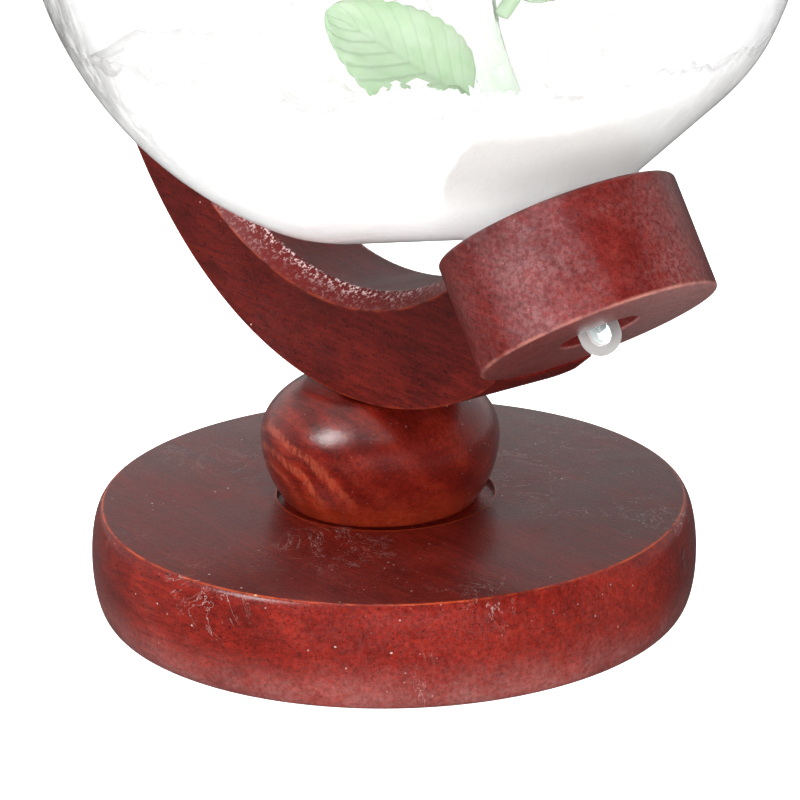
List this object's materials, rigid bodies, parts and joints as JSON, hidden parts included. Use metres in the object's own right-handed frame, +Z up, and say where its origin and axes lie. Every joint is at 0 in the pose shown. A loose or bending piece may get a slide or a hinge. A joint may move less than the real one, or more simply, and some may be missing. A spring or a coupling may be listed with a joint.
{
  "type": "globe storm glass",
  "caption": "Sealed glass globe with liquid, white crystals and a glass rose inside, seated by its neck in a wooden cup on a crescent arm, a bun and a round wooden base.",
  "frame": {"origin": "centre of the round base's underside", "axes": "+Z up; the arm lies in the XZ plane, the cup is on the +X side and the arm's free tail on the -X side"},
  "size_m": [0.1158, 0.0996, 0.1512],
  "materials": {
    "mahogany": "semi-gloss red-brown lacquer",
    "mahogany_light": "semi-gloss red-brown lacquer, figured grain",
    "dowel_wood": "raw beech",
    "screw_steel": "zinc plated",
    "clear_glass": "clear",
    "clear_liquid": "clear liquid",
    "white_crystals": "fine white crystals, like snow",
    "pale_green_glass": "pale green glass",
    "green_glass": "pressed green glass",
    "red_glass": "red glass"
  },
  "bodies": {
    "stand": {"base_disc": "mahogany", "base_screw_1": "screw_steel", "base_screw_2": "screw_steel", "bun_spacer": "mahogany_light", "crescent_arm": "mahogany", "cup_dowel": "dowel_wood", "globe_cup": "mahogany"},
    "seated_tip": {"filling_tip": "clear_glass"},
    "globe": {"globe_glass": "clear_glass", "storm_liquid": "clear_liquid", "crystal_bed": "white_crystals", "flower_stem": "pale_green_glass", "leaf_front": "green_glass", "leaf_upper": "green_glass", "leaf_lower": "green_glass", "flower_calyx": "green_glass", "rose_bud": "red_glass", "petal_inner_1": "red_glass", "petal_inner_2": "red_glass", "petal_inner_3": "red_glass", "petal_outer_1": "red_glass", "petal_outer_2": "red_glass", "petal_outer_3": "red_glass", "petal_outer_4": "red_glass", "petal_outer_5": "red_glass"}
  },
  "joints": [
    {"name": "globe_lift", "type": "slide", "parent": "stand", "child": "seated_tip", "axis": [-0.5592, 0, 0.829], "range_m": [0, 0.03]},
    {"name": "globe_spin", "type": "hinge", "parent": "seated_tip", "child": "globe", "pos_m": [0.00715, 0, 0.1013], "axis": [-0.5592, 0, 0.829], "continuous": true}
  ]
}
